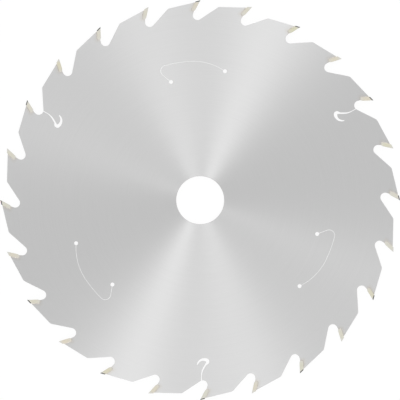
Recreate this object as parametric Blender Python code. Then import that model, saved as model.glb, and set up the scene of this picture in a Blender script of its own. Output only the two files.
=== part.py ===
# Circular saw blade with brazed carbide tips, for ripping wood.
# The blade lies flat. +Z runs along its bore, the origin is the bore's centre at the middle of the
# plate's thickness, and the first tooth points along +Y with its cutting face looking along +X.
# The teeth run clockwise as seen from +Z. All sizes are in metres.

import math

import bmesh
import bpy
from mathutils import Vector

# Blade as a whole
BLADE_DIAMETER = 0.250          # over the cutting corners of the tips
BORE_DIAMETER = 0.030
PLATE_THICKNESS = 0.0022
KERF = 0.0032                   # width of the cut, which the tips are as wide as
TEETH = 24

# Carbide tips. The alternate top bevel tilts each tip's top to one side, and the next one's to the
# other side. The nose is the tip's lower front corner, ground back to run into the gullet.
HOOK_ANGLE = math.radians(27.5)
RELIEF_ANGLE = math.radians(13.6)
BEVEL_ANGLE = math.radians(12.5)
RADIAL_CLEARANCE_ANGLE = math.radians(1.2)
TANGENTIAL_CLEARANCE_ANGLE = math.radians(2.5)
TIP_LENGTH = 0.0080
TIP_THICKNESS = 0.00225
TIP_PROUD = 0.00052             # the tip's top over the tooth's back
TIP_NOSE_LENGTH = 0.0013
TIP_NOSE_DEPTH = 0.0004
TIP_HEEL_CHAMFER = 0.0005

# Braze between each tip and its pocket
BRAZE_THICKNESS = 0.00026
BRAZE_PROUD = 0.00018           # how far its bead stands out of the plate's sides
BRAZE_BEAD_ROUNDING = 0.0001
JOINT_CLEARANCE = 0.00004       # between the braze and the solids on both sides of it

# Gullets and tooth backs
GULLET_RADIUS = 0.00292
GULLET_DROP = 0.00522           # from the foot of the tip's pocket to the gullet's root
GULLET_WALL_ANGLE = math.radians(15.5)
GULLET_RAMP_ANGLE = math.radians(33.5)
LAND_RADIUS = 0.0024            # where a gullet's ramp turns into the next tooth's back

# Expansion slots, which run in from the root of a gullet and end in a hook. Half widths are given
# to both sides of the slot's path: "inner" is the hook's hollow side.
SLOT_COUNT = 3
SLOT_OFFSET = 0.0009            # from the gullet's middle, towards the ramp
SLOT_STRAIGHT_LENGTH = 0.0026
SLOT_KNEE_RADIUS = 0.0100
SLOT_KNEE_ANGLE = math.radians(30)
SLOT_SHIN_LENGTH = 0.0023
SLOT_FLARE_LENGTH = 0.0016
SLOT_HEEL_RADIUS = 0.0012
SLOT_HEEL_ANGLE = math.radians(104)
SLOT_HOOK_RADIUS = 0.0042
SLOT_HOOK_ANGLE = math.radians(90)
SLOT_MOUTH_HALF_WIDTH = 0.0002
SLOT_KNEE_HALF_WIDTH = 0.00046
SLOT_FLARE_INNER = 0.0005
SLOT_FLARE_OUTER = 0.0013
SLOT_HEEL_INNER = 0.0008
SLOT_HEEL_OUTER = 0.0015
SLOT_SOLE_INNER = 0.0009
SLOT_SOLE_OUTER = 0.0011
SLOT_POINT_HALF_WIDTH = 0.0003

# Noise slits: an arc round the blade's centre, bent down at both ends to a round hole
SLIT_COUNT = 3
SLIT_WIDTH = 0.00028
SLIT_BELOW_GULLET = 0.0255      # from the gullets' roots to the arc
SLIT_JUNCTION_ANGLE = math.radians(5.1)
SLIT_ARC_ANGLE = math.radians(9.6)
SLIT_LONG_BEND_RADIUS = 0.0353
SLIT_LONG_BEND_ANGLE = math.radians(39.6)
SLIT_SHORT_BEND_RADIUS = 0.00355
SLIT_SHORT_BEND_ANGLE = math.radians(126)
SLIT_TAIL_LENGTH = 0.0066
SLIT_HOLE_DIAMETER = 0.0025

BORE_CHAMFER = 0.0002

# Fineness of the round stretches
ARC_ERROR = 0.00001             # how far a facet may lie from the true arc
BORE_SEGMENTS = 96
SLIT_HOLE_SEGMENTS = 20
CUTTER_OVERRUN = 0.002          # how far a cutter stands out of the plate on each side
WELD_DISTANCE = 0.000001
SMOOTH_ANGLE = math.radians(30)

TIP_RADIUS = BLADE_DIAMETER / 2
PITCH_ANGLE = 2 * math.pi / TEETH
UP = math.pi / 2
POCKET_GAP = BRAZE_THICKNESS + 2 * JOINT_CLEARANCE


def polar(radius, angle):
    """Point at a radius and an angle from +X."""
    return Vector((radius * math.cos(angle), radius * math.sin(angle)))


def turned(point, angle):
    """A flat point turned about the blade's centre."""
    return polar(point.length, math.atan2(point.y, point.x) + angle)


def meeting_point(point_a, direction_a, point_b, direction_b):
    """Where two flat lines cross."""
    offset = point_b - point_a
    along = offset.cross(direction_b) / direction_a.cross(direction_b)
    return point_a + direction_a * along


def arc_steps(radius, angle):
    """How many facets keep an arc within the allowed error."""
    facet_angle = 2 * math.acos(1 - ARC_ERROR / radius)
    return max(1, math.ceil(abs(angle) / facet_angle))


def arc(centre, radius, start, end):
    """Points on an arc, with both of its ends."""
    steps = arc_steps(radius, end - start)
    return [centre + polar(radius, start + (end - start) * i / steps) for i in range(steps + 1)]


def at_tip(along, behind):
    """Point of the first tooth, from its cutting corner: down the cutting face, then behind it."""
    corner = Vector((0, TIP_RADIUS))
    return corner + polar(along, -UP - HOOK_ANGLE) + polar(behind, 2 * UP - HOOK_ANGLE)


def seat_points(gap):
    """The bends of a seat that lies a gap away from the tip: heel, heel again, and nose."""
    heel_bend = TIP_HEEL_CHAMFER - gap * math.tan(math.pi / 8)
    return [
        (TIP_LENGTH - heel_bend, TIP_THICKNESS + gap),
        (TIP_LENGTH + gap, TIP_THICKNESS - heel_bend),
        (TIP_LENGTH + gap, TIP_NOSE_DEPTH),
    ]


def tooth_back():
    """A point on the first tooth's back and the back's direction, away from the tip."""
    direction = polar(1, 2 * UP + RELIEF_ANGLE)
    below_tip = polar(TIP_PROUD, RELIEF_ANGLE - UP)
    return at_tip(0, 0) + below_tip, direction


def pocket_top(gap):
    """Where the wall behind the tip, a gap away from it, comes out at the tooth's back."""
    heel = at_tip(TIP_LENGTH, TIP_THICKNESS + gap)
    return meeting_point(heel, polar(1, UP - HOOK_ANGLE), *tooth_back())


def gullet_centre():
    """Centre of the first tooth's gullet, whose arc touches the wall below the tip's pocket."""
    foot = at_tip(*seat_points(POCKET_GAP)[-1])
    height = foot.y - GULLET_DROP + GULLET_RADIUS
    wall = polar(1, -UP - GULLET_WALL_ANGLE)
    beside_wall = foot + polar(GULLET_RADIUS, -GULLET_WALL_ANGLE)
    return meeting_point(beside_wall, wall, Vector((0, height)), Vector((1, 0)))


def ramp_start():
    """Where the first tooth's gullet leaves its arc for the ramp."""
    return gullet_centre() + polar(GULLET_RADIUS, GULLET_RAMP_ANGLE - UP)


def land_corner():
    """The rounded corner between the ramp of the gullet before the first tooth and its back."""
    ramp_angle = GULLET_RAMP_ANGLE + PITCH_ANGLE
    back_point, back_direction = tooth_back()
    corner = meeting_point(
        turned(ramp_start(), PITCH_ANGLE), polar(1, ramp_angle), back_point, back_direction
    )
    half_turn = (ramp_angle - RELIEF_ANGLE) / 2
    middle = (ramp_angle + RELIEF_ANGLE) / 2
    centre = corner + polar(LAND_RADIUS / math.cos(half_turn), middle - UP)
    return arc(centre, LAND_RADIUS, ramp_angle + UP, RELIEF_ANGLE + UP)


def tooth_outline():
    """The plate's edge over one tooth: land, back, pocket of the tip, and gullet."""
    pocket = [at_tip(*bend) for bend in seat_points(POCKET_GAP)]
    gullet = arc(
        gullet_centre(), GULLET_RADIUS, 2 * UP - GULLET_WALL_ANGLE, 3 * UP + GULLET_RAMP_ANGLE
    )
    return land_corner() + [pocket_top(POCKET_GAP)] + pocket + gullet


def plate_outline():
    """The whole edge of the plate, clockwise from the first tooth."""
    tooth = tooth_outline()
    return [turned(point, -PITCH_ANGLE * k) for k in range(TEETH) for point in tooth]


def straight(length, inner, outer):
    """A straight leg of a slot's path, with the half widths at its end."""
    return length, 0, inner, outer


def bend(radius, angle, inner, outer):
    """A bent leg of a slot's path, to the left where its angle is positive."""
    return radius * abs(angle), angle, inner, outer


def path_outline(start, heading, half_width, legs):
    """The edge of a slot that follows a path of legs, widening from one leg's end to the next."""
    point = start
    widths = (half_width, half_width)
    inner_side = [point + polar(half_width, heading + UP)]
    outer_side = [point + polar(half_width, heading - UP)]
    for length, turn, inner, outer in legs:
        steps = arc_steps(length / abs(turn), turn) if turn else 1
        half_step = turn / steps / 2
        chord = length / steps * (math.sin(half_step) / half_step if turn else 1)
        for step in range(1, steps + 1):
            point = point + polar(chord, heading + half_step)
            heading += 2 * half_step
            reach = step / steps
            inner_width = widths[0] + (inner - widths[0]) * reach
            outer_width = widths[1] + (outer - widths[1]) * reach
            inner_side.append(point + polar(inner_width, heading + UP))
            outer_side.append(point + polar(outer_width, heading - UP))
        widths = (inner, outer)
    return inner_side, outer_side, point, heading


def slot_outline():
    """The first tooth's expansion slot, from inside its gullet to the point of its hook."""
    centre = gullet_centre()
    mouth = centre + Vector((SLOT_OFFSET, 0))
    legs = [
        straight(GULLET_RADIUS + SLOT_STRAIGHT_LENGTH, SLOT_MOUTH_HALF_WIDTH, SLOT_MOUTH_HALF_WIDTH),
        bend(SLOT_KNEE_RADIUS, -SLOT_KNEE_ANGLE, SLOT_KNEE_HALF_WIDTH, SLOT_KNEE_HALF_WIDTH),
        straight(SLOT_SHIN_LENGTH, SLOT_KNEE_HALF_WIDTH, SLOT_KNEE_HALF_WIDTH),
        straight(SLOT_FLARE_LENGTH, SLOT_FLARE_INNER, SLOT_FLARE_OUTER),
        bend(SLOT_HEEL_RADIUS, SLOT_HEEL_ANGLE / 2, SLOT_HEEL_INNER, SLOT_HEEL_OUTER),
        bend(SLOT_HEEL_RADIUS, SLOT_HEEL_ANGLE / 2, SLOT_SOLE_INNER, SLOT_SOLE_OUTER),
        bend(SLOT_HOOK_RADIUS, SLOT_HOOK_ANGLE, SLOT_POINT_HALF_WIDTH, SLOT_POINT_HALF_WIDTH),
    ]
    inner, outer, end, heading = path_outline(mouth, -UP, SLOT_MOUTH_HALF_WIDTH, legs)
    point_cap = arc(end, SLOT_POINT_HALF_WIDTH, heading + UP, heading - UP)
    return inner + point_cap[1:-1] + outer[::-1]


def slit_path():
    """The path of the slit at the first tooth: its start, its heading there, and its legs."""
    arc_radius = gullet_centre().y - GULLET_RADIUS - SLIT_BELOW_GULLET
    junction = UP + SLIT_JUNCTION_ANGLE
    bend_centre = polar(arc_radius - SLIT_LONG_BEND_RADIUS, junction)
    start_angle = junction - SLIT_LONG_BEND_ANGLE
    half_width = SLIT_WIDTH / 2
    legs = [
        bend(SLIT_LONG_BEND_RADIUS, SLIT_LONG_BEND_ANGLE, half_width, half_width),
        bend(arc_radius, SLIT_ARC_ANGLE, half_width, half_width),
        bend(SLIT_SHORT_BEND_RADIUS, SLIT_SHORT_BEND_ANGLE, half_width, half_width),
        straight(SLIT_TAIL_LENGTH, half_width, half_width),
    ]
    return bend_centre + polar(SLIT_LONG_BEND_RADIUS, start_angle), start_angle + UP, legs


def new_collection(name):
    """A collection in the scene."""
    collection = bpy.data.collections.new(name)
    bpy.context.scene.collection.children.link(collection)
    return collection


def new_material(name, colour, metallic, roughness):
    """A plain finish: base colour, metallic value and roughness."""
    material = bpy.data.materials.new(name)
    material.use_nodes = True
    shader = material.node_tree.nodes["Principled BSDF"]
    shader.inputs["Base Color"].default_value = (*colour, 1)
    shader.inputs["Metallic"].default_value = metallic
    shader.inputs["Roughness"].default_value = roughness
    return material


def add_object(name, mesh, collection):
    """An object that shows a mesh."""
    piece = bpy.data.objects.new(name, mesh)
    collection.objects.link(piece)
    return piece


def flat_mesh(name, points, half_thickness):
    """A closed mesh from a flat outline, made solid to both sides of the blade's mid-plane."""
    curve = bpy.data.curves.new(name, "CURVE")
    curve.dimensions = "2D"
    curve.fill_mode = "BOTH"
    curve.extrude = half_thickness
    spline = curve.splines.new("POLY")
    spline.points.add(len(points) - 1)
    for vertex, point in zip(spline.points, points):
        vertex.co = (point.x, point.y, 0, 1)
    spline.use_cyclic_u = True
    outline = add_object(name + "_outline", curve, bpy.context.scene.collection)
    evaluated = outline.evaluated_get(bpy.context.evaluated_depsgraph_get())
    mesh = bpy.data.meshes.new_from_object(evaluated)
    mesh.name = name
    bpy.data.objects.remove(outline)
    bpy.data.curves.remove(curve)
    body = bmesh.new()
    body.from_mesh(mesh)
    bmesh.ops.remove_doubles(body, verts=body.verts, dist=WELD_DISTANCE)
    bmesh.ops.recalc_face_normals(body, faces=body.faces)
    body.to_mesh(mesh)
    body.free()
    return mesh


def turned_mesh(name, profile, segments):
    """A closed mesh turned about Z from a profile whose two ends lie on the axis."""
    body = bmesh.new()
    rim = [body.verts.new((radius, 0, height)) for radius, height in profile]
    edges = [body.edges.new(pair) for pair in zip(rim, rim[1:])]
    bmesh.ops.spin(
        body, geom=rim + edges, cent=(0, 0, 0), axis=(0, 0, 1), angle=2 * math.pi, steps=segments,
        use_merge=True
    )
    bmesh.ops.remove_doubles(body, verts=body.verts, dist=WELD_DISTANCE)
    bmesh.ops.recalc_face_normals(body, faces=body.faces)
    mesh = bpy.data.meshes.new(name)
    body.to_mesh(mesh)
    body.free()
    return mesh


def add_cutter(name, mesh, collection, place=(0, 0), angle=0):
    """A wire-frame cutter, which the build leaves out."""
    cutter = add_object(name, mesh, collection)
    cutter.location = (*place, 0)
    cutter.rotation_euler.z = angle
    cutter.hide_render = True
    cutter.display_type = "WIRE"
    return cutter


def add_bore_cutter(cutters):
    """The bore, with a small chamfer at both faces of the plate."""
    radius = BORE_DIAMETER / 2
    face = PLATE_THICKNESS / 2
    top = face + CUTTER_OVERRUN
    upper = [
        (0, top),
        (radius + BORE_CHAMFER + CUTTER_OVERRUN, top),
        (radius, face - BORE_CHAMFER),
    ]
    lower = [(distance, -height) for distance, height in reversed(upper)]
    add_cutter("bore_cutter", turned_mesh("bore_cutter", upper + lower, BORE_SEGMENTS), cutters)


def add_slot_cutters(cutters):
    """The expansion slots, evenly spaced and half a spacing round from the first tooth."""
    mesh = flat_mesh("slot_cutter", slot_outline(), PLATE_THICKNESS / 2 + CUTTER_OVERRUN)
    for k in range(SLOT_COUNT):
        tooth = round(TEETH * (k + 0.5) / SLOT_COUNT)
        add_cutter(f"slot_cutter_{k + 1}", mesh, cutters, angle=-PITCH_ANGLE * tooth)


def add_slit_cutters(cutters):
    """The noise slits and their end holes, evenly spaced from the first tooth."""
    start, heading, legs = slit_path()
    inner, outer, end, _ = path_outline(start, heading, SLIT_WIDTH / 2, legs)
    height = PLATE_THICKNESS / 2 + CUTTER_OVERRUN
    slit = flat_mesh("slit_cutter", inner + outer[::-1], height)
    radius = SLIT_HOLE_DIAMETER / 2
    profile = [(0, height), (radius, height), (radius, -height), (0, -height)]
    hole = turned_mesh("slit_hole_cutter", profile, SLIT_HOLE_SEGMENTS)
    for k in range(SLIT_COUNT):
        angle = -PITCH_ANGLE * round(TEETH * k / SLIT_COUNT)
        add_cutter(f"slit_cutter_{k + 1}", slit, cutters, angle=angle)
        for side, place in (("leading", start), ("trailing", end)):
            add_cutter(f"slit_hole_cutter_{k + 1}_{side}", hole, cutters, turned(place, angle))


def shade_by_angle(mesh):
    """Smooth shading on round walls, with the sharp edges kept."""
    mesh.shade_smooth()
    mesh.set_sharp_from_angle(angle=SMOOTH_ANGLE)


def add_plate(blade, cutters, steel):
    """The steel plate with its bore, slots and slits cut out of it."""
    mesh = flat_mesh("saw_plate", plate_outline(), PLATE_THICKNESS / 2)
    shade_by_angle(mesh)
    mesh.materials.append(steel)
    plate = add_object("saw_plate", mesh, blade)
    cut = plate.modifiers.new("bore_slots_and_slits", "BOOLEAN")
    cut.operation = "DIFFERENCE"
    cut.operand_type = "COLLECTION"
    cut.collection = cutters
    return plate


def tip_outline():
    """The side view of a tip, from its cutting corner down its face and back up behind it."""
    heel, heel_again, nose = seat_points(0)
    top = pocket_top(0) + polar(1, 2 * UP + RELIEF_ANGLE)
    behind = at_tip(0, TIP_THICKNESS)
    face_top = at_tip(0, 0)
    back_top = meeting_point(face_top, top - pocket_top(0), behind, polar(1, UP - HOOK_ANGLE))
    face_foot = at_tip(TIP_LENGTH - TIP_NOSE_LENGTH, 0)
    return [face_top, face_foot, at_tip(*nose), at_tip(*heel_again), at_tip(*heel), back_top]


def tip_mesh(name, bevel_side, carbide):
    """A tip: narrower towards its foot and its back, with its top ground down on one side."""
    mesh = flat_mesh(name, tip_outline(), KERF / 2)
    body = bmesh.new()
    body.from_mesh(mesh)
    down_face = polar(1, -UP - HOOK_ANGLE)
    backwards = polar(1, 2 * UP - HOOK_ANGLE)
    for vertex in body.verts:
        from_corner = vertex.co.xy - at_tip(0, 0)
        slimming = from_corner.dot(down_face) * math.tan(RADIAL_CLEARANCE_ANGLE)
        slimming += from_corner.dot(backwards) * math.tan(TANGENTIAL_CLEARANCE_ANGLE)
        vertex.co.z -= math.copysign(slimming, vertex.co.z)
    outwards = polar(math.cos(BEVEL_ANGLE), UP + RELIEF_ANGLE)
    bmesh.ops.bisect_plane(
        body, geom=body.verts[:] + body.edges[:] + body.faces[:],
        dist=WELD_DISTANCE, plane_co=(*at_tip(0, 0), -bevel_side * KERF / 2),
        plane_no=(*outwards, bevel_side * math.sin(BEVEL_ANGLE)), clear_outer=True
    )
    bmesh.ops.holes_fill(body, edges=body.edges)
    bmesh.ops.recalc_face_normals(body, faces=body.faces)
    body.to_mesh(mesh)
    body.free()
    mesh.materials.append(carbide)
    return mesh


def braze_mesh(braze):
    """The braze that lines a tip's pocket, with a rounded bead along both sides of the plate."""
    from_corner = pocket_top(POCKET_GAP) - at_tip(0, 0)
    top_reach = from_corner.dot(polar(1, -UP - HOOK_ANGLE))
    edges = []
    for gap in (JOINT_CLEARANCE, JOINT_CLEARANCE + BRAZE_THICKNESS):
        edges.append([(top_reach, TIP_THICKNESS + gap)] + seat_points(gap))
    points = [at_tip(*bend) for bend in edges[0] + edges[1][::-1]]
    mesh = flat_mesh("braze_joint", points, PLATE_THICKNESS / 2 + BRAZE_PROUD)
    body = bmesh.new()
    body.from_mesh(mesh)
    bmesh.ops.dissolve_limit(
        body, angle_limit=math.radians(1), verts=body.verts, edges=body.edges
    )
    rims = [edge for edge in body.edges if edge.verts[0].co.z * edge.verts[1].co.z > 0]
    bmesh.ops.bevel(
        body, geom=rims, offset=BRAZE_BEAD_ROUNDING, offset_type="OFFSET", segments=2, profile=0.5,
        affect="EDGES", clamp_overlap=True
    )
    body.to_mesh(mesh)
    body.free()
    mesh.materials.append(braze)
    return mesh


def add_tips_and_braze(blade, plate, carbide, braze):
    """One tip and its braze for each tooth, with every second tip bevelled the other way."""
    tips = [tip_mesh("tip_bevel_up", 1, carbide), tip_mesh("tip_bevel_down", -1, carbide)]
    joint = braze_mesh(braze)
    for k in range(TEETH):
        for name, mesh in (("carbide_tip", tips[k % 2]), ("braze_joint", joint)):
            piece = add_object(f"{name}_{k + 1:02d}", mesh, blade)
            piece.rotation_euler.z = -PITCH_ANGLE * k
            piece.parent = plate


def main():
    """Clear the scene and build the blade."""
    for leftover in list(bpy.data.objects):
        bpy.data.objects.remove(leftover)
    blade = new_collection("circular_saw_blade")
    cutters = new_collection("circular_saw_blade_cutters")
    steel = new_material("ground_steel", (0.58, 0.58, 0.58), 1.0, 0.35)
    carbide = new_material("cemented_carbide", (0.66, 0.62, 0.45), 0.6, 0.4)
    braze = new_material("braze", (0.52, 0.42, 0.30), 1.0, 0.4)
    add_bore_cutter(cutters)
    add_slot_cutters(cutters)
    add_slit_cutters(cutters)
    plate = add_plate(blade, cutters, steel)
    add_tips_and_braze(blade, plate, carbide, braze)


main()
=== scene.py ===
"""The looks of a circular saw blade with brazed carbide tips, lying flat in a plain studio.

The blade's bore runs along +Z, its centre is the origin and its first tooth points along +Y.
All lengths are in metres.
"""

import logging
import math
from dataclasses import dataclass, field
from enum import Enum
from itertools import accumulate, pairwise

import bmesh
import bpy
from mathutils import Matrix, Vector, noise


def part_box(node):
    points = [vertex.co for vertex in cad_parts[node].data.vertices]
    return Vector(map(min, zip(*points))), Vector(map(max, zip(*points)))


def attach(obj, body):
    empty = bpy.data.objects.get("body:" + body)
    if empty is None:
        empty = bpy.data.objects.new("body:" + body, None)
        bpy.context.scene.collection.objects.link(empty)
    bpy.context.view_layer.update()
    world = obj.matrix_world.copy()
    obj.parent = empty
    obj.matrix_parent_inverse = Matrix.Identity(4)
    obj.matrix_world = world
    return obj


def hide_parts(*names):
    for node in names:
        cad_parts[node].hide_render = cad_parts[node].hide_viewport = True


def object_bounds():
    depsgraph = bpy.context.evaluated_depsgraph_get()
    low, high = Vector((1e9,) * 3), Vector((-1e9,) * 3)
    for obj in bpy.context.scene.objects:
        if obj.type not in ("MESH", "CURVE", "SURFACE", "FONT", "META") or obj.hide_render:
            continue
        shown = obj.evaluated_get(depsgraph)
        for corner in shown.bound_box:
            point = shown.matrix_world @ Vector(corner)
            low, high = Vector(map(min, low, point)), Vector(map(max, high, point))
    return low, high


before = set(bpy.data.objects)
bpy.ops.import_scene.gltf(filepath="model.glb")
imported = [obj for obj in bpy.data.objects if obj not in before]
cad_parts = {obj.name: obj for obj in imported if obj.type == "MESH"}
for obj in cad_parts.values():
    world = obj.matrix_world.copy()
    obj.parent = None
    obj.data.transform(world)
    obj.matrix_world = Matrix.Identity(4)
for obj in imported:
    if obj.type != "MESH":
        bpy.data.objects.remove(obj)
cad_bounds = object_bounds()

BODY = "root"
WELD_DISTANCE = 1e-6
MILLIMETRE = 1e-3

Socket = bpy.types.NodeSocket
Node = bpy.types.Node
Colour = tuple[float, float, float]
Span = tuple[float, float]

# What feeds a socket: a plain value, or a pattern that comes out of another node
Number = float | Socket
Paint = Colour | Socket

WHITE: Colour = (1.0, 1.0, 1.0)
RISING: Span = (0.0, 1.0)
FALLING: Span = (1.0, 0.0)

# A noise pattern swings round its mean, and nearly all of its values lie in either of the spans
NOISE_MEAN = 0.5
MIDDLE: Span = (0.3, 0.7)
BROAD: Span = (0.25, 0.75)

# Where the Mix node has its sockets for colours
MIX_SHARE, MIX_FIRST, MIX_SECOND, MIX_RESULT = 0, 6, 7, 2

# The azimuth, in degrees, towards which a tilt about +X leans what stood upright
TILT_AZIMUTH = -90.0

log = logging.getLogger("circular_saw_blade")


class Slot(Enum):
    """The record's material slots that the new pieces take their finishes from."""

    PLATE = "plate_steel"
    BRAZE = "braze"


class Math(Enum):
    """What a finish does with numbers."""

    ADD = "ADD"
    SUBTRACT = "SUBTRACT"
    MULTIPLY = "MULTIPLY"
    ABSOLUTE = "ABSOLUTE"
    MAXIMUM = "MAXIMUM"
    ROUND = "ROUND"
    WRAP = "FLOORED_MODULO"
    SINE = "SINE"
    COSINE = "COSINE"
    ANGLE = "ARCTAN2"


class VectorMath(Enum):
    """What a finish does with vectors."""

    LENGTH = "LENGTH"
    DIRECTION = "NORMALIZE"
    DOT = "DOT_PRODUCT"
    SCALE = "SCALE"


class Graph:
    """A tree of shader nodes, with the sums and patterns that the finishes are made of."""

    def __init__(self, tree: bpy.types.NodeTree) -> None:
        """Take up the tree that the nodes are added to."""
        self.tree = tree

    def node(self, kind: str, **settings: object) -> Node:
        """Add a node.

        Args:
            kind: the node's type, without its ShaderNode prefix.
            **settings: the node's own properties.

        Returns:
            The new node.
        """
        made = self.tree.nodes.new("ShaderNode" + kind)
        for name, value in settings.items():
            setattr(made, name, value)
        return made

    def feed(self, target: Socket, value: Number | Paint) -> None:
        """Link a socket to another one, or set it to a plain value.

        Args:
            target: the input that is fed.
            value: an output socket, a number or a colour.
        """
        if isinstance(value, Socket):
            self.tree.links.new(value, target)
        elif isinstance(value, tuple) and target.type == "RGBA":
            target.default_value = (*value, 1.0)
        else:
            target.default_value = value

    def math(self, operation: Math, a: Number, b: Number = 0.0) -> Socket:
        """Combine one or two numbers.

        Args:
            operation: what to do with them.
            a: the first number.
            b: the second number, where the operation takes two.

        Returns:
            The result.
        """
        made = self.node("Math", operation=operation.value)
        self.feed(made.inputs[0], a)
        self.feed(made.inputs[1], b)
        return made.outputs[0]

    def plus(self, a: Number, b: Number) -> Socket:
        """Add two numbers."""
        return self.math(Math.ADD, a, b)

    def minus(self, a: Number, b: Number) -> Socket:
        """Take the second number from the first."""
        return self.math(Math.SUBTRACT, a, b)

    def times(self, a: Number, b: Number) -> Socket:
        """Multiply two numbers."""
        return self.math(Math.MULTIPLY, a, b)

    def spread(self, value: Socket, source: Span, target: tuple[Number, Number]) -> Socket:
        """Map a range of numbers smoothly onto another one.

        Args:
            value: the number.
            source: where the range starts and ends.
            target: the results at both ends, which hold beyond them too.

        Returns:
            The mapped number.
        """
        made = self.node("MapRange", interpolation_type="SMOOTHSTEP")
        names = ("Value", "From Min", "From Max", "To Min", "To Max")
        for name, number in zip(names, (value, *source, *target)):
            self.feed(made.inputs[name], number)
        return made.outputs["Result"]

    def mix(self, share: Number, first: Paint, second: Paint) -> Socket:
        """Blend two colours.

        Args:
            share: how much of the second colour shows.
            first: the first colour.
            second: the second colour.

        Returns:
            The blend.
        """
        made = self.node("Mix", data_type="RGBA")
        self.feed(made.inputs[MIX_SHARE], share)
        self.feed(made.inputs[MIX_FIRST], first)
        self.feed(made.inputs[MIX_SECOND], second)
        return made.outputs[MIX_RESULT]

    def vector(self, operation: VectorMath, a: Paint, b: Socket | None = None) -> Node:
        """Combine one or two vectors.

        Args:
            operation: what to do with them.
            a: the first vector, or a colour.
            b: the second vector, where the operation takes two.

        Returns:
            The node, with a vector and a number as its outputs.
        """
        made = self.node("VectorMath", operation=operation.value)
        self.feed(made.inputs[0], a)
        if b is not None:
            self.feed(made.inputs[1], b)
        return made

    def shade(self, colour: Paint, factor: Socket) -> Socket:
        """Lighten or darken a colour by a pattern.

        Args:
            colour: the plain colour.
            factor: how many times as bright it is at each place.

        Returns:
            The shaded colour.
        """
        made = self.vector(VectorMath.SCALE, colour)
        self.feed(made.inputs["Scale"], factor)
        return made.outputs["Vector"]

    def split(self, vector: Socket) -> tuple[Socket, Socket, Socket]:
        """Take a vector apart.

        Args:
            vector: the vector.

        Returns:
            Its X, Y and Z parts.
        """
        made = self.node("SeparateXYZ")
        self.feed(made.inputs[0], vector)
        return made.outputs[0], made.outputs[1], made.outputs[2]

    def joined(self, x: Number, y: Number, z: Number) -> Socket:
        """Make a vector.

        Args:
            x: its X part.
            y: its Y part.
            z: its Z part.

        Returns:
            The vector.
        """
        made = self.node("CombineXYZ")
        for target, value in zip(made.inputs, (x, y, z)):
            self.feed(target, value)
        return made.outputs[0]

    def places(self) -> Socket:
        """The point of the surface in the blade's own frame."""
        return self.node("TexCoord").outputs["Object"]

    def normal(self) -> Socket:
        """The direction that the surface faces, without any bumps."""
        return self.node("NewGeometry").outputs["True Normal"]

    def flatness(self) -> Socket:
        """1 where the surface lies flat, falling to 0 on upright walls."""
        return self.math(Math.ABSOLUTE, self.split(self.normal())[2])

    def noise(self, vector: Socket, scale: float, detail: float = 2.0) -> Socket:
        """A soft random pattern.

        Args:
            vector: the coordinates that it follows.
            scale: its cells in one unit of them.
            detail: how many finer layers it has.

        Returns:
            The pattern, from 0 to 1.
        """
        made = self.node("TexNoise", noise_dimensions="3D")
        for name, value in (("Vector", vector), ("Scale", scale), ("Detail", detail)):
            self.feed(made.inputs[name], value)
        return made.outputs["Fac"]

    def patches(self, size: float, detail: float = 2.0) -> Socket:
        """A soft random pattern over the surface, with cells of one size."""
        return self.noise(self.places(), 1 / size, detail)

    def random(self, seed: Socket) -> tuple[Socket, Socket, Socket]:
        """Three random numbers for each value of a seed.

        Args:
            seed: a whole number.

        Returns:
            The numbers, from 0 to 1.
        """
        made = self.node("TexWhiteNoise", noise_dimensions="1D")
        self.feed(made.inputs["W"], seed)
        return self.split(made.outputs["Color"])

    def seen_directly(self) -> Socket:
        """1 for what the camera sees, itself or in metal and glass, and 0 for soft light.

        Returns:
            The number.
        """
        seen = self.node("LightPath").outputs
        mirrored = self.math(Math.MAXIMUM, seen["Is Glossy Ray"], seen["Is Transmission Ray"])
        return self.math(Math.MAXIMUM, seen["Is Camera Ray"], mirrored)


class Finish(Graph):
    """The nodes of one surface finish, built round its Principled shader.

    Attributes:
        material: the material that the nodes belong to.
        shader: its Principled shader.
    """

    def __init__(self, name: str) -> None:
        """Start a finish.

        Args:
            name: the material's name.
        """
        self.material = bpy.data.materials.new(name)
        self.material.use_nodes = True
        super().__init__(self.material.node_tree)
        self.shader = self.tree.nodes["Principled BSDF"]

    def set(self, **values: Number | Paint) -> None:
        """Feed the shader's inputs.

        Args:
            **values: input names in lower case with underscores, and what feeds each.
        """
        for name, value in values.items():
            self.feed(self.shader.inputs[name.replace("_", " ").title()], value)

    def bump(self, height: Socket, depth: float) -> None:
        """Raise the surface by a pattern.

        Args:
            height: the pattern, from 0 to 1.
            depth: how far its highest point stands over its lowest.
        """
        made = self.node("Bump")
        self.feed(made.inputs["Distance"], depth)
        self.feed(made.inputs["Height"], height)
        self.set(normal=made.outputs["Normal"])


class RoundFinish(Finish):
    """A finish that follows circles round the bore.

    Attributes:
        height: how high each point lies.
        angle: its angle from +X in radians, positive towards +Y.
        radius: how far it lies from the bore's axis.
        outwards: the direction to it from the axis.
    """

    def __init__(self, name: str) -> None:
        """Start a finish.

        Args:
            name: the material's name.
        """
        super().__init__(name)
        x, y, self.height = self.split(self.places())
        from_axis = self.joined(x, y, 0.0)
        self.angle = self.math(Math.ANGLE, y, x)
        self.radius = self.vector(VectorMath.LENGTH, from_axis).outputs["Value"]
        self.outwards = self.vector(VectorMath.DIRECTION, from_axis).outputs["Vector"]

    def rings(self, width: float, length: float) -> Socket:
        """Random grooves that run round the bore.

        Args:
            width: how far apart they lie.
            length: how long each one is, as an angle in radians.

        Returns:
            The pattern, from 0 to 1.
        """
        across = self.times(self.radius, 1 / width)
        along = [self.times(part, 1 / length) for part in self.split(self.outwards)[:2]]
        return self.noise(self.joined(across, *along), 1.0)


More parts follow.
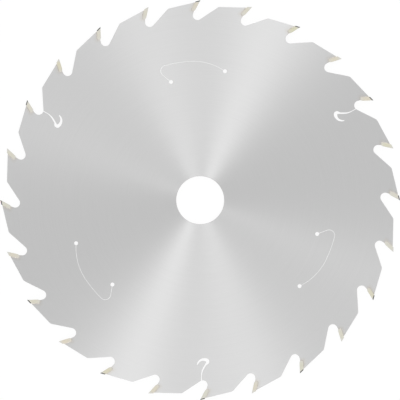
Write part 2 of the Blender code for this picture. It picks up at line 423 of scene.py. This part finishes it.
@dataclass(frozen=True)
class ToothFrame:
    """Where each tooth's tip sits, for tints that follow it.

    A point of a tooth is given from its cutting corner: down the cutting face, and behind it.
    """

    teeth: int = 24
    corner_radius: float = 125.0 * MILLIMETRE
    hook_angle: float = math.radians(27.5)
    seat_depth: float = 8.3 * MILLIMETRE
    seat_reach: float = 2.6 * MILLIMETRE

    def nearest(self, finish: RoundFinish) -> Socket:
        """The nearest tooth, counted both ways from +X, negative towards -Y."""
        return finish.math(Math.ROUND, finish.times(finish.angle, self.teeth / (2 * math.pi)))

    def number(self, finish: RoundFinish) -> Socket:
        """The nearest tooth, counted from 0 up, so that the one at -X has one number, not two."""
        return finish.math(Math.WRAP, self.nearest(finish), float(self.teeth))

    def place(self, finish: RoundFinish) -> tuple[Socket, Socket]:
        """Where each point lies in the nearest tooth.

        Args:
            finish: the finish that asks.

        Returns:
            How far it lies down the cutting face, and behind it.
        """
        tooth_angle = finish.times(self.nearest(finish), 2 * math.pi / self.teeth)
        turn = finish.minus(finish.angle, tooth_angle)
        sideways = finish.times(finish.radius, finish.math(Math.SINE, turn))
        outwards = finish.times(finish.radius, finish.math(Math.COSINE, turn))
        inwards = finish.minus(self.corner_radius, outwards)
        sine, cosine = math.sin(self.hook_angle), math.cos(self.hook_angle)
        down = finish.plus(finish.times(sideways, sine), finish.times(inwards, cosine))
        behind = finish.plus(finish.times(sideways, cosine), finish.times(inwards, -sine))
        return down, behind

    def distance(self, finish: RoundFinish) -> Socket:
        """How far each point of the plate lies from the nearest tip's seat.

        Args:
            finish: the plate's finish.

        Returns:
            The distance.
        """
        down, behind = self.place(finish)
        past_depth = self._past(finish, down, self.seat_depth)
        past_reach = self._past(finish, behind, self.seat_reach)
        past = finish.joined(past_depth, past_reach, 0.0)
        return finish.vector(VectorMath.LENGTH, past).outputs["Value"]

    @staticmethod
    def _past(finish: RoundFinish, place: Socket, length: float) -> Socket:
        """How far a place lies past either end of a length that begins at zero."""
        from_middle = finish.math(Math.ABSOLUTE, finish.minus(place, length / 2))
        return finish.math(Math.MAXIMUM, finish.minus(from_middle, length / 2), 0.0)


@dataclass(frozen=True)
class GroundSteel:
    """The plate's flat faces, ground in circles, so that light falls into rays from the bore."""

    colour: Colour = (0.64, 0.64, 0.64)
    roughness: Span = (0.47, 0.53)
    anisotropy: float = 0.90
    groove_width: float = 0.12 * MILLIMETRE
    groove_length: float = 0.35
    groove_depth: float = 1.1e-6
    groove_tone: Span = (0.972, 1.028)
    band_width: float = 4.0 * MILLIMETRE
    band_length: float = 1.5
    band_tone: Span = (0.998, 1.002)
    heat_colour: Colour = (0.612, 0.597, 0.571)
    heat_reach: float = 2.2 * MILLIMETRE
    heat_patch: float = 1.1 * MILLIMETRE
    heat_patchiness: Span = (0.5, 1.0)
    teeth: ToothFrame = field(default_factory=ToothFrame)

    def material(self) -> bpy.types.Material:
        """Build the finish.

        Returns:
            The material.
        """
        finish = RoundFinish("ground_steel")
        grooves = finish.rings(self.groove_width, self.groove_length)
        bands = finish.rings(self.band_width, self.band_length)
        groove_tone = finish.spread(grooves, BROAD, self.groove_tone)
        band_tone = finish.spread(bands, MIDDLE, self.band_tone)
        tinted = finish.mix(self._heat(finish), self.colour, self.heat_colour)
        finish.set(
            base_color=finish.shade(tinted, finish.times(groove_tone, band_tone)),
            metallic=1.0,
            roughness=finish.spread(grooves, BROAD, self.roughness),
            anisotropic=self.anisotropy,
            tangent=finish.outwards,
        )
        finish.bump(grooves, self.groove_depth)
        return finish.material

    def _heat(self, finish: RoundFinish) -> Socket:
        """How strong the tint is that the brazing's heat left round the tips.

        Args:
            finish: the finish.

        Returns:
            The share, from 0 to 1.
        """
        nearness = finish.spread(self.teeth.distance(finish), (0.0, self.heat_reach), FALLING)
        patches = finish.patches(self.heat_patch)
        return finish.times(nearness, finish.spread(patches, MIDDLE, self.heat_patchiness))


@dataclass(frozen=True)
class CutEdge:
    """The plate's cut walls, with fine ridges across its thickness."""

    colour: Colour = (0.58, 0.575, 0.57)
    roughness: Span = (0.54, 0.36)
    ridge_width: float = 0.22 * MILLIMETRE
    ridge_wander: float = 0.12
    ridge_depth: float = 12e-6
    ridge_tone: Span = (0.86, 1.08)
    ridge_fade: Span = (0.1, 0.3)
    faded_ridges: float = 0.1
    stain_width: float = 5.0 * MILLIMETRE
    stain_range: Span = (0.35, 0.65)
    stain_tone: Span = (0.9, 1.05)

    def material(self) -> bpy.types.Material:
        """Build the finish.

        Returns:
            The material.
        """
        finish = Finish("cut_edge")
        ridges = self._ridges(finish)
        stain = finish.patches(self.stain_width, detail=3.0)
        ridge_tone = finish.spread(ridges, MIDDLE, self.ridge_tone)
        stain_tone = finish.spread(stain, self.stain_range, self.stain_tone)
        finish.set(
            base_color=finish.shade(self.colour, finish.times(ridge_tone, stain_tone)),
            metallic=1.0,
            roughness=finish.spread(ridges, MIDDLE, self.roughness),
        )
        finish.bump(ridges, self.ridge_depth)
        return finish.material

    def _ridges(self, finish: Finish) -> Socket:
        """Ridges that run from one face of the plate to the other and fade on its chamfers.

        Args:
            finish: the finish.

        Returns:
            The pattern, from 0 to 1.
        """
        x, y, z = finish.split(finish.places())
        stretched = finish.joined(x, y, finish.times(z, self.ridge_wander))
        pattern = finish.noise(stretched, 1 / self.ridge_width, detail=1.0)
        strength = finish.spread(finish.flatness(), self.ridge_fade, (1.0, self.faded_ridges))
        swing = finish.times(finish.minus(pattern, NOISE_MEAN), strength)
        return finish.plus(swing, NOISE_MEAN)


@dataclass(frozen=True)
class Carbide:
    """Cemented carbide: pale warm sides, and tops and cutting faces ground across the tooth.

    The brazing's heat has tinted each tip's sides a little differently, from straw to orange. How
    squarely a face looks up, down or outwards tells whether it is a side or a top. The tops'
    carbide grey is painted down to near black, as painted shade.
    """

    clean_colour: Colour = (0.562, 0.553, 0.515)
    straw_colour: Colour = (0.562, 0.550, 0.406)
    orange_colour: Colour = (0.582, 0.530, 0.426)
    # Painted shade: the tops' carbide grey is darkened to near black, for the shade they lie in
    top_painted_shade_colour: Colour = (0.03, 0.03, 0.028)
    face_colour: Colour = (0.42, 0.41, 0.38)
    metallic: float = 0.35
    roughness: Span = (0.41, 0.53)
    top_roughness: float = 0.42
    facing: Span = (0.6, 0.7)
    grain: float = 0.18 * MILLIMETRE
    grain_tone: Span = (0.93, 1.06)
    scratch_width: float = 0.05 * MILLIMETRE
    scratch_length: float = 0.25 * MILLIMETRE
    scratch_depth: float = 1.5e-6
    scratch_swing: Span = (0.07, 0.35)
    ground_edge: Span = (0.6 * MILLIMETRE, 3.2 * MILLIMETRE)
    foot: Span = (5.0 * MILLIMETRE, 8.5 * MILLIMETRE)
    foot_warmth: float = 0.3
    warmth_patch: float = 4.0 * MILLIMETRE
    warmth_patchiness: Span = (0.85, 1.1)
    tip_warmth: Span = (0.34, 1.0)
    tip_tone: Span = (0.986, 1.014)
    teeth: ToothFrame = field(default_factory=ToothFrame)

    def material(self) -> bpy.types.Material:
        """Build the finish.

        Returns:
            The material.
        """
        finish = RoundFinish("cemented_carbide")
        is_side = finish.spread(finish.flatness(), self.facing, RISING)
        outwards = finish.vector(VectorMath.DOT, finish.normal(), finish.outwards).outputs["Value"]
        is_top = finish.spread(outwards, self.facing, RISING)
        grain = finish.patches(self.grain, detail=3.0)
        scratches = self._scratches(finish)
        finish.set(
            base_color=finish.mix(
                is_side, self._ground(finish, is_top, scratches), self._side(finish, grain)
            ),
            metallic=finish.spread(is_top, RISING, (self.metallic, 0.0)),
            roughness=finish.plus(
                finish.spread(grain, MIDDLE, self.roughness),
                finish.times(is_top, self.top_roughness),
            ),
        )
        finish.bump(scratches, self.scratch_depth)
        return finish.material

    def _scratches(self, finish: RoundFinish) -> Socket:
        """Fine grinding marks across the tooth.

        Args:
            finish: the finish.

        Returns:
            The pattern, from 0 to 1.
        """
        across = finish.times(finish.radius, 1 / self.scratch_width)
        along = finish.times(finish.height, 1 / self.scratch_length)
        return finish.noise(finish.joined(across, along, 0.0), 1.0, detail=1.0)

    def _ground(self, finish: RoundFinish, is_top: Socket, scratches: Socket) -> Socket:
        """The colour of the ground cutting faces, and of the tops with their painted shade.

        Args:
            finish: the finish.
            is_top: 1 on a tip's top and 0 elsewhere.
            scratches: the grinding marks.

        Returns:
            The colour.
        """
        swing = finish.times(
            finish.spread(scratches, MIDDLE, (-1.0, 1.0)),
            finish.spread(is_top, RISING, self.scratch_swing),
        )
        # The tops take a near-black colour, which is painted shade over the carbide's grey
        plain = finish.mix(is_top, self.face_colour, self.top_painted_shade_colour)
        return finish.shade(plain, finish.plus(swing, 1.0))

    def _side(self, finish: RoundFinish, grain: Socket) -> Socket:
        """The colour of a tip's sides.

        Args:
            finish: the finish.
            grain: the carbide's grain.

        Returns:
            The colour.
        """
        hue, warmth, brightness = finish.random(self.teeth.number(finish))
        tint = finish.mix(hue, self.straw_colour, self.orange_colour)
        share = finish.times(
            self._warmth(finish), finish.spread(warmth, RISING, self.tip_warmth)
        )
        tone = finish.times(
            finish.spread(grain, MIDDLE, self.grain_tone),
            finish.spread(brightness, RISING, self.tip_tone),
        )
        return finish.shade(finish.mix(share, self.clean_colour, tint), tone)

    def _warmth(self, finish: RoundFinish) -> Socket:
        """How much of the warm tint shows at each place of a tip's side.

        The tint is ground away at the cutting edge and wears off towards the foot.

        Args:
            finish: the finish.

        Returns:
            The share.
        """
        down, _ = self.teeth.place(finish)
        above = finish.spread(down, self.ground_edge, RISING)
        below = finish.spread(down, self.foot, (1.0, self.foot_warmth))
        patches = finish.patches(self.warmth_patch)
        uneven = finish.spread(patches, MIDDLE, self.warmth_patchiness)
        return finish.times(finish.times(above, below), uneven)


@dataclass(frozen=True)
class Braze:
    """Silver braze, warm in tone and dulled by the heat in patches."""

    colour: Colour = (0.555, 0.523, 0.486)
    dull_colour: Colour = (0.45, 0.415, 0.382)
    roughness: Span = (0.32, 0.52)
    ripple: float = 0.5 * MILLIMETRE
    ripple_depth: float = 20e-6
    stain_width: float = 1.4 * MILLIMETRE
    stain_range: Span = (0.35, 0.7)
    stain_share: Span = (0.0, 0.9)

    def material(self) -> bpy.types.Material:
        """Build the finish.

        Returns:
            The material.
        """
        finish = Finish("silver_braze")
        stain = finish.patches(self.stain_width, detail=3.0)
        dullness = finish.spread(stain, self.stain_range, self.stain_share)
        finish.set(
            base_color=finish.mix(dullness, self.colour, self.dull_colour),
            metallic=1.0,
            roughness=finish.spread(stain, MIDDLE, self.roughness),
        )
        finish.bump(finish.patches(self.ripple), self.ripple_depth)
        return finish.material


@dataclass(frozen=True)
class WhiteFloor:
    """Matt white that the camera sees nearly as bright as the background.

    A little of its own shading is left, and with it the blade's shadow.
    """

    colour: Colour = (0.95, 0.95, 0.95)
    roughness: float = 0.9
    glow: float = 0.95

    def material(self) -> bpy.types.Material:
        """Build the finish.

        Returns:
            The material.
        """
        finish = Finish("white_floor")
        finish.set(base_color=self.colour, roughness=self.roughness)
        blend = finish.node("MixShader")
        share = finish.times(finish.seen_directly(), self.glow)
        glow = finish.node("Emission")
        for target, source in zip(blend.inputs, (share, finish.shader.outputs[0], glow.outputs[0])):
            finish.feed(target, source)
        finish.feed(finish.tree.nodes["Material Output"].inputs["Surface"], blend.outputs[0])
        return finish.material


def merged_copy(node: str) -> bmesh.types.BMesh:
    """A CAD node's mesh with its triangles joined.

    Args:
        node: the node's name.

    Returns:
        The joined mesh.
    """
    body = bmesh.new()
    body.from_mesh(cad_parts[node].data)
    bmesh.ops.remove_doubles(body, verts=body.verts, dist=WELD_DISTANCE)
    return body


def put_in_order(body: bmesh.types.BMesh) -> None:
    """Order a mesh's parts by place, because extruding leaves them in an order of chance.

    Args:
        body: the mesh.
    """
    for number, vertex in enumerate(sorted(body.verts, key=lambda vertex: vertex.co[:])):
        vertex.index = number
    body.verts.sort()
    for parts in (body.edges, body.faces):
        ordered = sorted(parts, key=lambda part: sorted(vertex.index for vertex in part.verts))
        for number, part in enumerate(ordered):
            part.index = number
        parts.sort()


def add_object(name: str, body: bmesh.types.BMesh) -> bpy.types.Object:
    """Make an object of a finished mesh.

    Args:
        name: the object's name.
        body: its mesh, which is freed.

    Returns:
        The object.
    """
    mesh = bpy.data.meshes.new(name)
    body.to_mesh(mesh)
    body.free()
    made = bpy.data.objects.new(name, mesh)
    bpy.context.scene.collection.objects.link(made)
    return made


def add_piece(
    name: str, body: bmesh.types.BMesh, finishes: list[bpy.types.Material]
) -> bpy.types.Object:
    """Make a piece of the blade from a finished mesh.

    Args:
        name: the piece's name.
        body: its mesh, which is freed.
        finishes: its materials, in the order of the faces' numbers.

    Returns:
        The piece.
    """
    piece = add_object(name, body)
    for finish in finishes:
        piece.data.materials.append(finish)
    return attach(piece, BODY)


@dataclass
class SawPlate:
    """The steel plate, with the edges of its teeth and gullets broken by a fine bevel."""

    node: str = "saw_plate"
    edge_bevel: float = 0.05 * MILLIMETRE
    bevel_segments: int = 2
    gullet_root: float = 112.7 * MILLIMETRE
    upright_limit: float = 0.1
    flat_limit: float = 0.99
    sharp_angle: float = math.radians(35)
    face: GroundSteel = field(default_factory=GroundSteel)
    wall: CutEdge = field(default_factory=CutEdge)

    def build(self) -> bpy.types.Object:
        """Model and dress the plate.

        Returns:
            The plate.
        """
        body = merged_copy(self.node)
        self._break_edges(body)
        self._sort_faces(body)
        finishes = [self.face.material(), self.wall.material()]
        plate = add_piece("ground_plate", body, finishes)
        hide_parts(self.node)
        return plate

    def _is_rim(self, edge: bmesh.types.BMEdge) -> bool:
        """Whether an edge lies between a flat face and an upright wall, out by the teeth.

        Args:
            edge: an edge of the plate's mesh.

        Returns:
            True where it does.
        """
        flatness = sorted(abs(face.normal.z) for face in edge.link_faces)
        return (
            len(flatness) == 2
            and flatness[0] < self.upright_limit
            and flatness[1] > self.flat_limit
            and min(vertex.co.xy.length for vertex in edge.verts) > self.gullet_root
        )

    def _break_edges(self, body: bmesh.types.BMesh) -> None:
        """Bevel the edges between the flat faces and the upright walls.

        Args:
            body: the plate's mesh.
        """
        body.normal_update()
        bmesh.ops.bevel(
            body, geom=[edge for edge in body.edges if self._is_rim(edge)],
            offset=self.edge_bevel, offset_type="OFFSET", segments=self.bevel_segments,
            profile=0.5, affect="EDGES", clamp_overlap=False, material=-1,
        )

    def _sort_faces(self, body: bmesh.types.BMesh) -> None:
        """Give the flat faces the first finish and the walls the second, shaded smoothly.

        Args:
            body: the plate's mesh.
        """
        body.normal_update()
        for face in body.faces:
            is_wall = abs(face.normal.z) <= self.flat_limit
            face.material_index = int(is_wall)
            face.smooth = is_wall
        for edge in body.edges:
            kinds = {face.smooth for face in edge.link_faces}
            edge.smooth = len(kinds) == 1 and edge.calc_face_angle(math.pi) < self.sharp_angle


@dataclass
class CarbideTips:
    """The 24 carbide tips, whose shapes are the model's own."""

    prefix: str = "carbide_tip_"
    finish: Carbide = field(default_factory=Carbide)

    def dress(self) -> list[bpy.types.Object]:
        """Dress the tips.

        Returns:
            The tips.
        """
        material = self.finish.material()
        names = sorted(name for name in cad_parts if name.startswith(self.prefix))
        tips = [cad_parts[name] for name in names]
        for tip in tips:
            tip.data.materials.clear()
            tip.data.materials.append(material)
        return tips


@dataclass(frozen=True)
class Station:
    """A place along a braze joint: its point on both walls, and how far the nearer end is."""

    tip_wall: Vector
    plate_wall: Vector
    to_end: float


@dataclass
class BrazeJoints:
    """The braze round each tip, with a hollow fillet on both sides of the plate.

    The fillet rises up the tip and has its foot on the plate. Both swing by a share of their size
    from lump to lump, apart from each other, and both shrink towards the joint's ends.
    """

    prefix: str = "braze_joint_"
    step: float = 0.2 * MILLIMETRE
    straight_angle: float = math.radians(2)
    plate_half: float = 1.10 * MILLIMETRE
    overlap: float = 0.045 * MILLIMETRE
    sunk: float = 0.01 * MILLIMETRE
    fillet_rise: float = 0.24 * MILLIMETRE
    rise_swing: float = 0.7
    fillet_foot: float = 0.20 * MILLIMETRE
    foot_swing: float = 1.4
    lump: float = 1.1 * MILLIMETRE
    foot_shift: tuple[float, float, float] = (7.0, 3.0, 1.0)
    end_taper: float = 0.8 * MILLIMETRE
    end_size: float = 0.2
    arc_points: int = 6
    sharp_angle: float = math.radians(50)
    finish: Braze = field(default_factory=Braze)

    def build(self) -> list[bpy.types.Object]:
        """Model and dress the joints.

        Returns:
            The joints.
        """
        material = self.finish.material()
        joints = []
        for node in sorted(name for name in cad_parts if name.startswith(self.prefix)):
            name = node.replace(self.prefix, "braze_bead_")
            joint = add_piece(name, self._fillet(*self._walls(node)), [material])
            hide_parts(node)
            joints.append(joint)
        return joints

    def _walls(self, node: str) -> tuple[list[Vector], list[Vector]]:
        """The bends of a joint's two walls, from the tooth's back to the gullet.

        Args:
            node: the joint's CAD node.

        Returns:
            The bends along the tip, and along the plate.
        """
        body = self._middle_outline(node)
        # The joint's ends are its shortest edges, and the one at the tooth's back lies farther out
        ends = sorted(body.edges, key=lambda edge: edge.calc_length())[:2]
        ends.sort(key=lambda edge: sum(vertex.co.length for vertex in edge.verts), reverse=True)
        walls = [self._bends(start, *ends) for start in ends[0].verts]
        body.free()
        # The tip's own wall is the one whose bends lie nearer its middle
        tip_low, tip_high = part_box(node.replace(self.prefix, "carbide_tip_"))
        middle = (tip_low + tip_high) / 2
        walls.sort(key=lambda wall: sum((point - middle).length for point in wall))
        return walls[0], walls[1]

    def _middle_outline(self, node: str) -> bmesh.types.BMesh:
        """A joint's outline on the plate's middle plane.

        Args:
            node: the joint's CAD node.

        Returns:
            A mesh with nothing but the outline's straight edges.
        """
        body = merged_copy(node)
        cut = bmesh.ops.bisect_plane(
            body, geom=body.verts[:] + body.edges[:] + body.faces[:], dist=WELD_DISTANCE,
            plane_co=(0, 0, 0), plane_no=(0, 0, 1), clear_inner=True, clear_outer=True,
        )["geom_cut"]
        bmesh.ops.dissolve_limit(
            body, angle_limit=self.straight_angle,
            verts=[part for part in cut if isinstance(part, bmesh.types.BMVert)],
            edges=[part for part in cut if isinstance(part, bmesh.types.BMEdge)],
        )
        return body

    @staticmethod
    def _bends(
        start: bmesh.types.BMVert, first: bmesh.types.BMEdge, last: bmesh.types.BMEdge
    ) -> list[Vector]:
        """Follow an outline from one of its short ends to the other.

        Args:
            start: where the walk begins.
            first: the short end that it leaves.
            last: the short end that it comes to.

        Returns:
            The outline's points on the way.
        """
        vertex, edge = start, first
        bends = [vertex.co.copy()]
        while True:
            edge = next(other for other in vertex.link_edges if other != edge)
            if edge == last:
                return bends
            vertex = edge.other_vert(vertex)
            bends.append(vertex.co.copy())

    def _fillet(self, tip_wall: list[Vector], plate_wall: list[Vector]) -> bmesh.types.BMesh:
        """Extrude the joint's section along its walls, step by step.

        Args:
            tip_wall: the bends along the tip.
            plate_wall: the bends along the plate.

        Returns:
            The closed mesh.
        """
        stations = self._stations(tip_wall, plate_wall)
        body = bmesh.new()
        ring = [body.verts.new(point) for point in self._section(stations[0])]
        rim = [body.edges.new(pair) for pair in zip(ring, ring[1:] + ring[:1])]
        for station in stations[1:]:
            ring, rim = self._grow(body, ring, rim, self._section(station))
        ends = bmesh.ops.holes_fill(body, edges=body.edges)["faces"]
        bmesh.ops.recalc_face_normals(body, faces=body.faces)
        for face in body.faces:
            face.smooth = face not in ends
        for edge in body.edges:
            edge.smooth = edge.calc_face_angle(math.pi) < self.sharp_angle
        put_in_order(body)
        return body

    @staticmethod
    def _grow(
        body: bmesh.types.BMesh, ring: list[bmesh.types.BMVert], rim: list[bmesh.types.BMEdge],
        section: list[Vector],
    ) -> tuple[list[bmesh.types.BMVert], list[bmesh.types.BMEdge]]:
        """Extrude the open end of a mesh to its next section.

        Args:
            body: the mesh.
            ring: the open end's vertices, in order.
            rim: the open end's edges.
            section: where the ring's vertices go.

        Returns:
            The new end's vertices, in the same order, and its edges.
        """
        grown = bmesh.ops.extrude_edge_only(body, edges=rim)["geom"]
        fresh = {part for part in grown if isinstance(part, bmesh.types.BMVert)}
        edges = [part for part in grown if isinstance(part, bmesh.types.BMEdge)]
        moved = [
            next(edge.other_vert(old) for edge in old.link_edges if edge.other_vert(old) in fresh)
            for old in ring
        ]
        for vertex, point in zip(moved, section):
            vertex.co = point
        return moved, [edge for edge in edges if edge.is_boundary]

    def _stations(self, tip_wall: list[Vector], plate_wall: list[Vector]) -> list[Station]:
        """Places at even steps along a joint.

        Args:
            tip_wall: the bends along the tip.
            plate_wall: the bends along the plate.

        Returns:
            The places, from one end to the other.
        """
        pairs = [(tip_wall[0], plate_wall[0])]
        for (tip, plate), (next_tip, next_plate) in pairwise(zip(tip_wall, plate_wall)):
            count = max(1, round((next_tip - tip).length / self.step))
            pairs += [
                (tip.lerp(next_tip, i / count), plate.lerp(next_plate, i / count))
                for i in range(1, count + 1)
            ]
        lengths = ((after - before).length for (before, _), (after, _) in pairwise(pairs))
        run = list(accumulate(lengths, initial=0.0))
        return [Station(*pair, min(way, run[-1] - way)) for pair, way in zip(pairs, run)]

    def _section(self, station: Station) -> list[Vector]:
        """The joint's outline across its walls.

        Args:
            station: the place along the joint.

        Returns:
            The outline's points, all the way round.
        """
        gap = station.plate_wall - station.tip_wall
        size = self.end_size + (1 - self.end_size) * min(1.0, station.to_end / self.end_taper)
        points = []
        for side in (1, -1):
            place = station.tip_wall / self.lump + Vector((0, 0, side))
            rise_noise = noise.noise(place)
            foot_noise = noise.noise(place + Vector(self.foot_shift))
            half = self._half_section(
                gap.length + self.overlap,
                self.fillet_rise * size * (1 + self.rise_swing * rise_noise),
                self.fillet_foot * size * (1 + self.foot_swing * foot_noise),
            )
            # The lower half runs backwards, so that the outline goes all the way round
            points += [
                station.tip_wall + gap.normalized() * reach + Vector((0, 0, side * height))
                for reach, height in half[::side]
            ]
        return points

    def _half_section(self, wall: float, rise: float, foot: float) -> list[tuple[float, float]]:
        """The joint's outline above the plate's middle, with its hollow fillet.

        Args:
            wall: how far the joint reaches from the tip into the plate.
            rise: how high the fillet climbs up the tip.
            foot: how far it spreads over the plate.

        Returns:
            For each point how far it lies from the tip's wall, and how high.
        """
        low = self.plate_half - self.sunk
        turns = [math.pi / 2 * i / self.arc_points for i in range(self.arc_points + 1)]
        fillet = [
            (
                wall + foot - (wall + foot + self.overlap) * math.cos(turn),
                low + rise * (1 - math.sin(turn)),
            )
            for turn in turns
        ]
        return fillet + [(wall, low - foot)]


@dataclass(frozen=True)
class SoftLamp:
    """An oblong soft box that faces the blade's centre.

    Its azimuth runs anticlockwise from +X and its slope is measured from +Z, both in degrees.
    Its length lies in the upright plane through the bore's axis, and its width across that plane.
    """

    name: str
    azimuth: float
    power: float
    width: float
    length: float = 1.2
    distance: float = 2.2
    slope: float = 55.0

    def build(self) -> bpy.types.Object:
        """Place the lamp.

        Returns:
            The lamp.
        """
        data = bpy.data.lights.new(self.name, "AREA")
        data.shape = "RECTANGLE"
        data.size = self.width
        data.size_y = self.length
        data.energy = self.power
        lamp = bpy.data.objects.new(self.name, data)
        bpy.context.scene.collection.objects.link(lamp)
        turn = Matrix.Rotation(math.radians(self.azimuth - TILT_AZIMUTH), 4, "Z")
        tilt = Matrix.Rotation(math.radians(self.slope), 4, "X")
        lamp.matrix_world = turn @ tilt @ Matrix.Translation((0, 0, self.distance))
        lamp.visible_camera = False
        return lamp


@dataclass
class Studio:
    """White floor and surroundings, soft lamps, and a camera straight above the blade."""

    floor_side: float = 30.0
    floor_gap: float = 0.02 * MILLIMETRE
    floor_finish: WhiteFloor = field(default_factory=WhiteFloor)
    world_light: float = 0.95
    view_width: float = 0.250
    view_height: float = 4.0
    view_middle: tuple[float, float] = (-0.125 * MILLIMETRE, 0.094 * MILLIMETRE)
    view_turn: float = math.radians(0.057)
    sensor: float = 36.0
    lamps: tuple[SoftLamp, ...] = (
        SoftLamp("key_lamp", azimuth=67.5, power=7.0, width=0.90),
        SoftLamp("key_fill_lamp", azimuth=247.5, power=4.9, width=0.20),
        SoftLamp("second_lamp", azimuth=282.5, power=7.3, width=0.90),
        SoftLamp("second_fill_lamp", azimuth=110.0, power=2.7, width=0.45),
        SoftLamp("side_lamp", azimuth=142.5, power=4.3, width=1.60),
        SoftLamp("edge_lamp", azimuth=337.5, power=1.75, width=0.20),
    )

    def build(self) -> None:
        """Set up the floor, the surroundings, the lamps and the camera."""
        self._add_floor()
        self._set_world()
        for lamp in self.lamps:
            lamp.build()
        self._add_camera()
        bpy.context.scene.view_settings.view_transform = "Standard"

    def _add_floor(self) -> None:
        """Lay a wide white floor just under the blade."""
        body = bmesh.new()
        bmesh.ops.create_grid(body, x_segments=1, y_segments=1, size=self.floor_side / 2)
        level = Vector((0, 0, cad_bounds[0].z - self.floor_gap))
        bmesh.ops.translate(body, verts=body.verts, vec=level)
        floor = add_object("floor", body)
        floor.data.materials.append(self.floor_finish.material())

    def _set_world(self) -> None:
        """Surround the blade with white, which lights it a little less brightly than it shows."""
        world = bpy.data.worlds.new("white_studio")
        bpy.context.scene.world = world
        world.use_nodes = True
        graph = Graph(world.node_tree)
        light = graph.spread(graph.seen_directly(), RISING, (self.world_light, 1.0))
        background = graph.tree.nodes["Background"]
        graph.feed(background.inputs["Color"], WHITE)
        graph.feed(background.inputs["Strength"], light)

    def _add_camera(self) -> None:
        """Look straight down, with the first tooth at the top, turned and moved as the photo is."""
        data = bpy.data.cameras.new("camera")
        data.sensor_width = self.sensor
        data.lens = self.sensor * self.view_height / self.view_width
        camera = bpy.data.objects.new("camera", data)
        camera.location = (*self.view_middle, self.view_height)
        camera.rotation_euler = (0, 0, self.view_turn)
        bpy.context.scene.collection.objects.link(camera)
        bpy.context.scene.camera = camera


def report(pieces: list[bpy.types.Object]) -> None:
    """Log each piece with its number of faces."""
    for piece in pieces:
        log.info("%s: %d faces", piece.name, len(piece.data.polygons))


def main() -> None:
    """Build and dress the blade and its studio in order."""
    logging.basicConfig(level=logging.INFO, format="%(message)s")
    report([SawPlate().build()])
    report(CarbideTips().dress())
    report(BrazeJoints().build())
    Studio().build()


if __name__ == "__main__":
    main()
